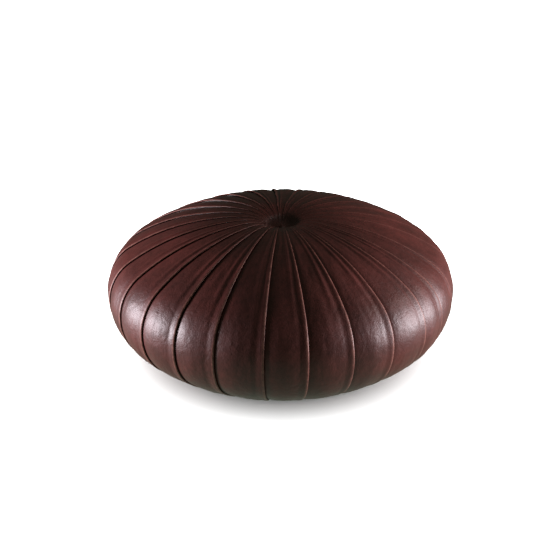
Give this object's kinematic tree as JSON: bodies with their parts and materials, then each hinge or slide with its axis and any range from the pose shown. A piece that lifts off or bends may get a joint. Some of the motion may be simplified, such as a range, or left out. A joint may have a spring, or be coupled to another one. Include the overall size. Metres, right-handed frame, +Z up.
{
  "type": "round leather pouf",
  "caption": "Low, wide, round pouf covered in lapped leather panels that run from a gathered dimple on top to the underside, on a hidden frame with low glides.",
  "frame": {"origin": "centre of the footprint, on the floor that the glides stand on", "axes": "+Z up through the gathered dimple; +X and +Y are horizontal, and -Y faces the viewer"},
  "size_m": [1, 0.996, 0.405],
  "materials": {
    "cover_leather": "satin",
    "beech": "matte",
    "plywood": "matte",
    "glide_plastic": "satin",
    "screw_steel": "satin",
    "staple_steel": "satin",
    "webbing": "matte",
    "hessian": "matte",
    "twine": "satin",
    "seat_foam": "matte",
    "soft_foam": "matte",
    "wadding": "matte",
    "dust_cover_cloth": "matte"
  },
  "bodies": {
    "root": {"base_board": "plywood", "crown_foam": "soft_foam", "dust_cover": "dust_cover_cloth", "dust_cover_staples": "staple_steel", "frame_screws": "screw_steel", "gather_disc": "cover_leather", "glide_01": "glide_plastic", "glide_02": "glide_plastic", "glide_03": "glide_plastic", "glide_04": "glide_plastic", "glide_05": "glide_plastic", "glide_06": "glide_plastic", "glide_screws": "screw_steel", "hessian_cloth": "hessian", "leather_panel_01": "cover_leather", "leather_panel_02": "cover_leather", "leather_panel_03": "cover_leather", "leather_panel_04": "cover_leather", "leather_panel_05": "cover_leather", "leather_panel_06": "cover_leather", "leather_panel_07": "cover_leather", "leather_panel_08": "cover_leather", "leather_panel_09": "cover_leather", "leather_panel_10": "cover_leather", "leather_panel_11": "cover_leather", "leather_panel_12": "cover_leather", "leather_panel_13": "cover_leather", "leather_panel_14": "cover_leather", "leather_panel_15": "cover_leather", "leather_panel_16": "cover_leather", "leather_panel_17": "cover_leather", "leather_panel_18": "cover_leather", "leather_panel_19": "cover_leather", "leather_panel_20": "cover_leather", "leather_panel_21": "cover_leather", "leather_panel_22": "cover_leather", "leather_panel_23": "cover_leather", "leather_panel_24": "cover_leather", "leather_panel_25": "cover_leather", "leather_panel_26": "cover_leather", "leather_staples": "staple_steel", "post_01": "beech", "post_02": "beech", "post_03": "beech", "post_04": "beech", "post_05": "beech", "post_06": "beech", "seat_foam": "seat_foam", "side_foam_ring": "soft_foam", "tie_down_twine": "twine", "tie_down_washer": "screw_steel", "top_ring": "plywood", "wadding": "wadding", "webbing_crosswise": "webbing", "webbing_lengthwise": "webbing", "webbing_staples": "staple_steel"}
  },
  "joints": []
}
